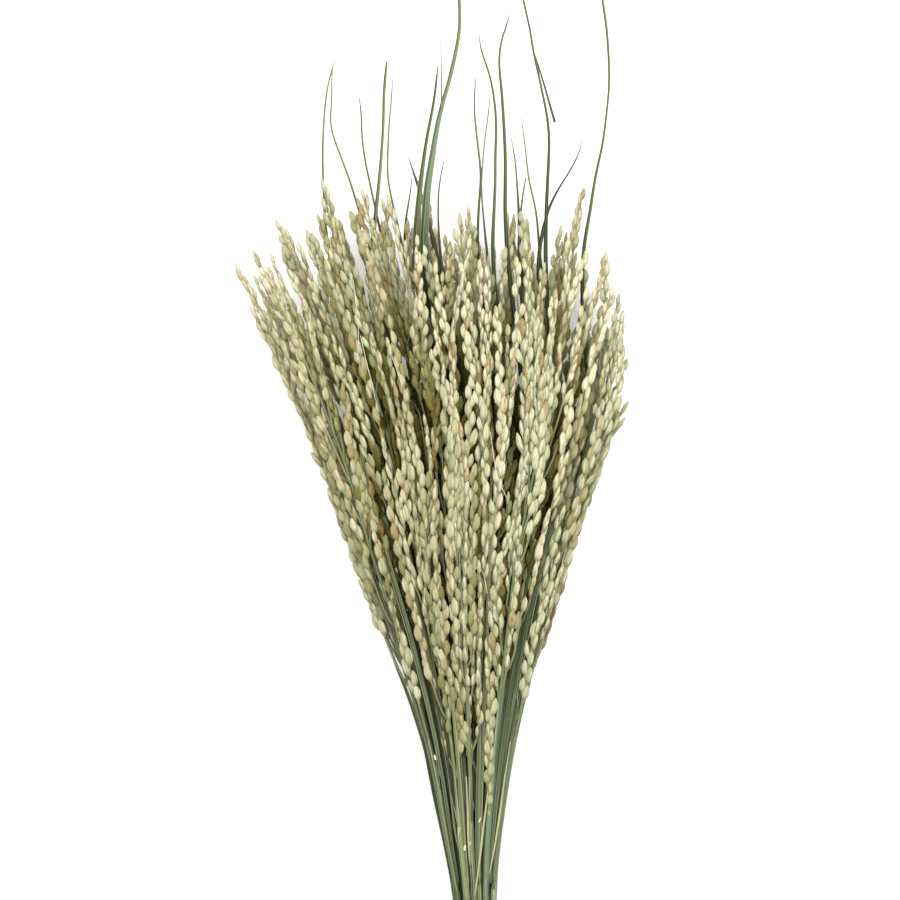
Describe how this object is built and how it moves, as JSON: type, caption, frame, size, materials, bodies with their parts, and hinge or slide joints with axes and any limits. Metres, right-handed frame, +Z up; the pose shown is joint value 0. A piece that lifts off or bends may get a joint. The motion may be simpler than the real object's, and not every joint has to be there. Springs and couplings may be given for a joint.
{
  "type": "dried rice bunch",
  "caption": "A tied bunch of dried rice stalks lying on its side: thin green culms gathered at the neck, fanning out into long heads of pale grain with thin leaf blades above.",
  "frame": {"origin": "on the surface that the bunch lies on, under the middle of its bounding box", "axes": "+Z up from the surface; +Y along the bunch, from the cut stem ends towards the grain and the leaf tips; +X to the right in the picture's view"},
  "size_m": [0.1504, 0.513, 0.081],
  "materials": {
    "stem_green": "dried green plant stem, matte",
    "grain_straw": "dried husk, pale straw with a green tint, matte",
    "twine": "natural twine, matte"
  },
  "bodies": {
    "root": {"leafy_stem_01": "stem_green", "leafy_stem_02": "stem_green", "leafy_stem_03": "stem_green", "leafy_stem_04": "stem_green", "leafy_stem_05": "stem_green", "leafy_stem_06": "stem_green", "leafy_stem_07": "stem_green", "leafy_stem_08": "stem_green", "leafy_stem_09": "stem_green", "leafy_stem_10": "stem_green", "leafy_stem_11": "stem_green", "leafy_stem_12": "stem_green", "leafy_stem_13": "stem_green", "leafy_stem_14": "stem_green", "leafy_stem_15": "stem_green", "leafy_stem_16": "stem_green", "leafy_stem_17": "stem_green", "leafy_stem_18": "stem_green", "leafy_stem_19": "stem_green", "leafy_stem_20": "stem_green", "leafy_stem_21": "stem_green", "leafy_stem_22": "stem_green", "leafy_stem_23": "stem_green", "leafy_stem_24": "stem_green", "leafy_stem_25": "stem_green", "leafy_stem_26": "stem_green", "leafy_stem_27": "stem_green", "leafy_stem_28": "stem_green", "leafy_stem_29": "stem_green", "grain_head_01": "grain_straw", "grain_head_02": "grain_straw", "grain_head_03": "grain_straw", "grain_head_04": "grain_straw", "grain_head_05": "grain_straw", "grain_head_06": "grain_straw", "grain_head_07": "grain_straw", "grain_head_08": "grain_straw", "grain_head_09": "grain_straw", "grain_head_10": "grain_straw", "grain_head_11": "grain_straw", "grain_head_12": "grain_straw", "grain_head_13": "grain_straw", "grain_head_14": "grain_straw", "grain_head_15": "grain_straw", "grain_head_16": "grain_straw", "grain_head_17": "grain_straw", "grain_head_18": "grain_straw", "grain_head_19": "grain_straw", "grain_head_20": "grain_straw", "grain_head_21": "grain_straw", "grain_head_22": "grain_straw", "grain_head_23": "grain_straw", "grain_head_24": "grain_straw", "grain_head_25": "grain_straw", "grain_head_26": "grain_straw", "grain_head_27": "grain_straw", "grain_head_28": "grain_straw", "grain_head_29": "grain_straw", "tie": "twine"}
  },
  "joints": []
}
